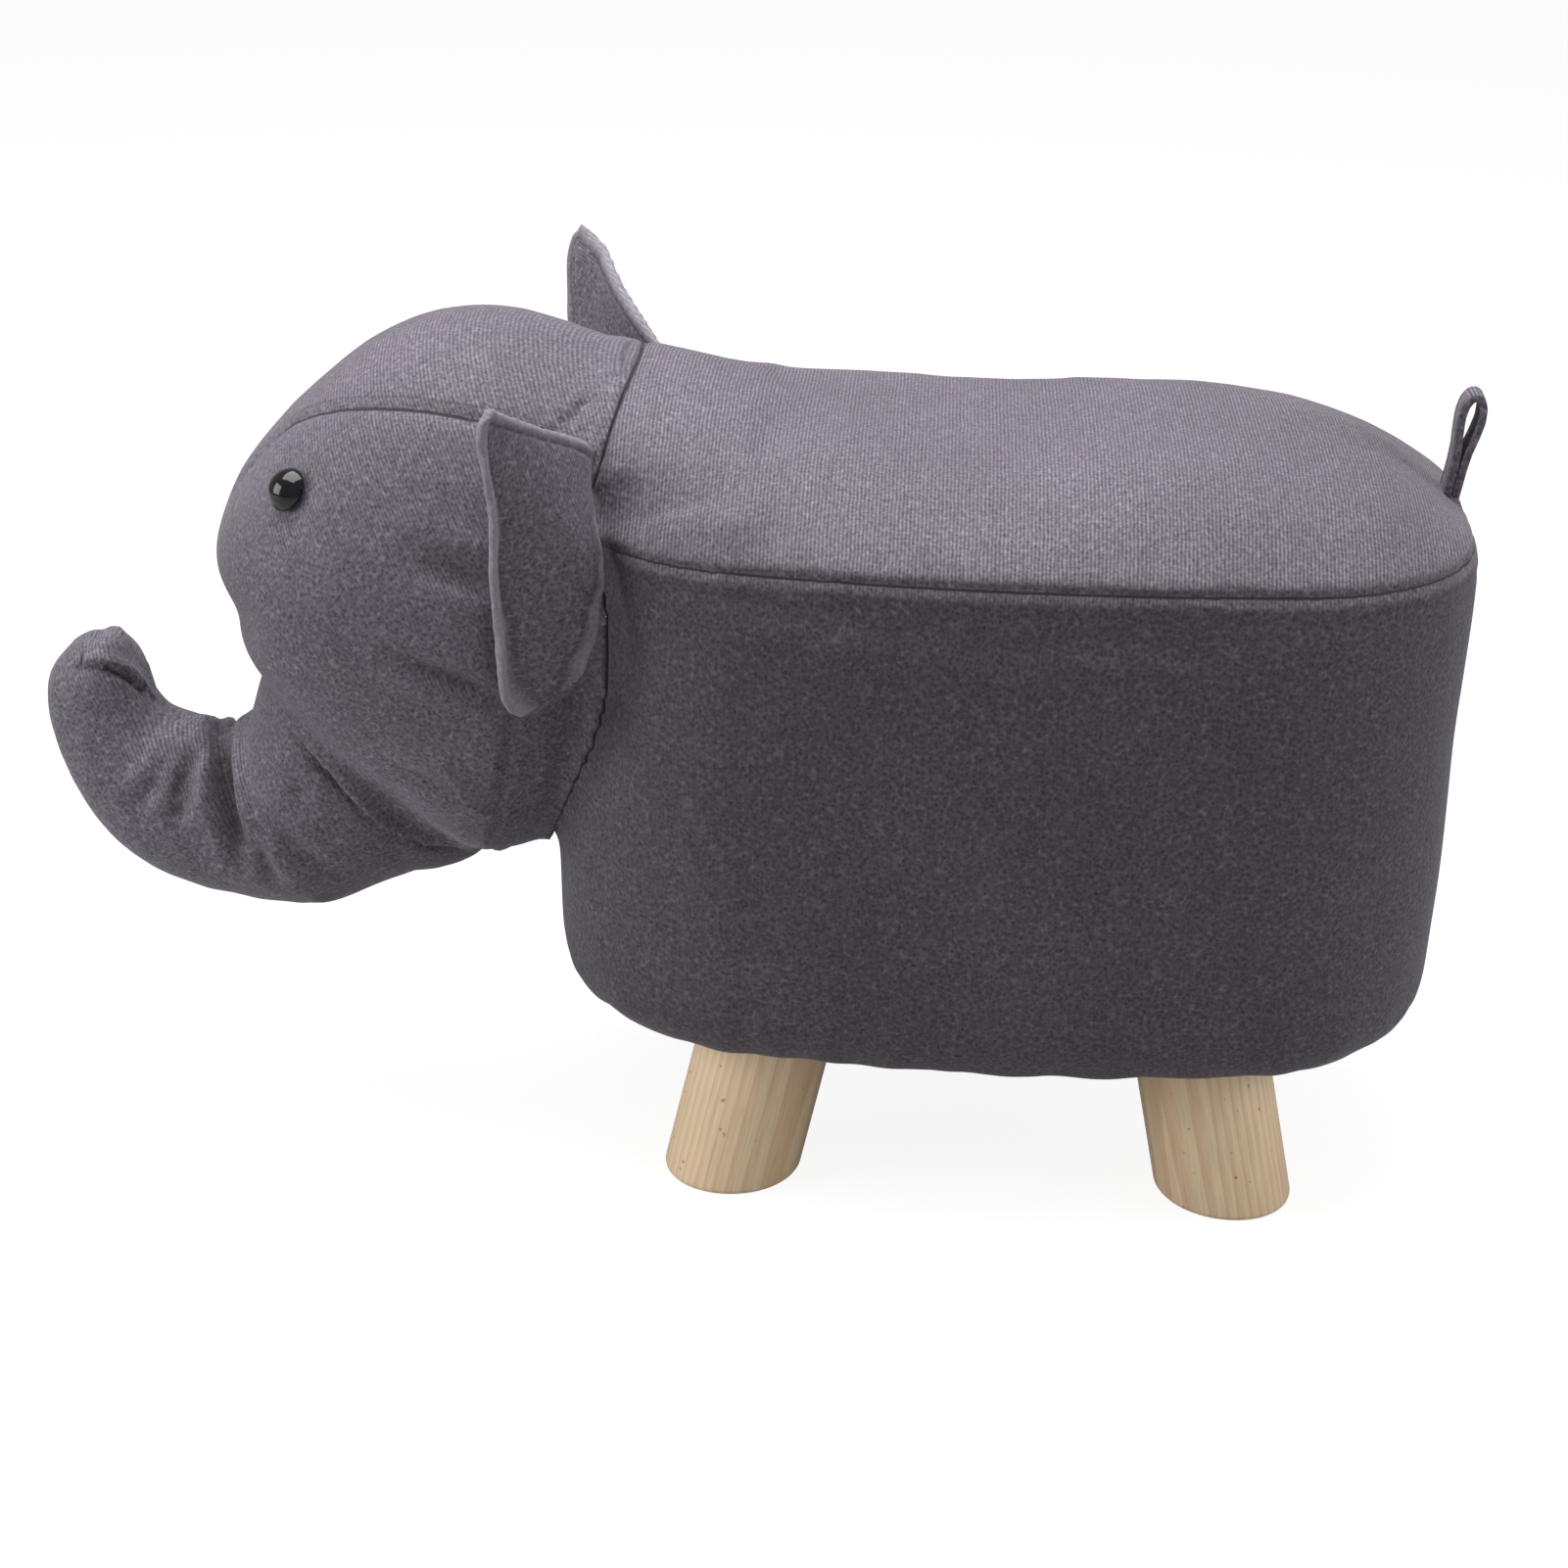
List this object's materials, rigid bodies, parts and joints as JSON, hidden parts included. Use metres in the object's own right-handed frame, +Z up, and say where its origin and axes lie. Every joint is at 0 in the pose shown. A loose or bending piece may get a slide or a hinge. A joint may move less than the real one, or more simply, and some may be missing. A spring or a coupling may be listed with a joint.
{
  "type": "upholstered animal footstool",
  "caption": "Padded elephant-shaped footstool with a rounded seat, stuffed head and curled trunk, sewn ears, strap tail and splayed round wooden legs.",
  "frame": {"origin": "on the floor under the centre of the stool's overall box", "axes": "+Z up, the head points along -X and the tail along +X, the elephant's left side is -Y"},
  "size_m": [0.604, 0.2822, 0.3543],
  "materials": {
    "cover_cloth": "soft-napped faux suede with a fine pebbled grain",
    "head_cloth": "soft-napped faux suede with a fine pebbled grain",
    "ear_cloth": "soft-napped faux suede with a fine pebbled grain",
    "tail_cloth": "soft-napped faux suede, folded and stitched",
    "wadding": "loose white polyester wadding",
    "foam": "open-cell upholstery foam",
    "lining": "black non-woven underlining",
    "pine": "smooth clear-lacquered pine",
    "plywood": "raw plywood",
    "spruce": "raw sawn timber",
    "steel": "zinc-plated steel",
    "eye_plastic": "high-gloss black",
    "washer_plastic": "moulded white plastic"
  },
  "bodies": {
    "stool": {"base_board": "plywood", "seat_board": "plywood", "frame_wrap": "plywood", "front_left_post": "spruce", "rear_left_post": "spruce", "front_right_post": "spruce", "rear_right_post": "spruce", "base_screws": "steel", "seat_screws": "steel", "leg_bolts": "steel", "leg_nuts": "steel", "hem_staples": "steel", "front_left_leg": "pine", "front_right_leg": "pine", "rear_left_leg": "pine", "rear_right_leg": "pine", "side_foam": "foam", "seat_foam": "foam", "cover_top_panel": "cover_cloth", "cover_side_band": "cover_cloth", "dust_cover": "lining", "left_eye": "eye_plastic", "right_eye": "eye_plastic", "left_eye_washer": "washer_plastic", "right_eye_washer": "washer_plastic", "head_stuffing": "wadding", "trunk_root_stuffing": "wadding", "trunk_curl_stuffing": "wadding", "trunk_tip_stuffing": "wadding", "head_gusset": "head_cloth", "trunk_tip_patch": "head_cloth", "head_side_left": "head_cloth", "head_side_right": "head_cloth"},
    "left_ear": {"left_ear_outer": "ear_cloth", "left_ear_wadding": "wadding", "left_ear_lining": "ear_cloth"},
    "right_ear": {"right_ear_outer": "ear_cloth", "right_ear_wadding": "wadding", "right_ear_lining": "ear_cloth"},
    "tail": {"tail_loop": "tail_cloth"}
  },
  "joints": [
    {"name": "left_ear_fold", "type": "hinge", "parent": "stool", "child": "left_ear", "pos_m": [-0.0647, -0.094, 0.225], "axis": [0.1504, 0, 0.9886], "range_deg": [-20, 20], "stiffness_Nm_per_rad": 0.05},
    {"name": "right_ear_fold", "type": "hinge", "parent": "stool", "child": "right_ear", "pos_m": [-0.0647, 0.094, 0.225], "axis": [-0.1504, 0, -0.9886], "range_deg": [-20, 20], "stiffness_Nm_per_rad": 0.05},
    {"name": "tail_flex", "type": "hinge", "parent": "stool", "child": "tail", "pos_m": [0.29295, 0, 0.30195], "axis": [0, 1, 0], "range_deg": [-45, 75], "stiffness_Nm_per_rad": 0.03}
  ]
}
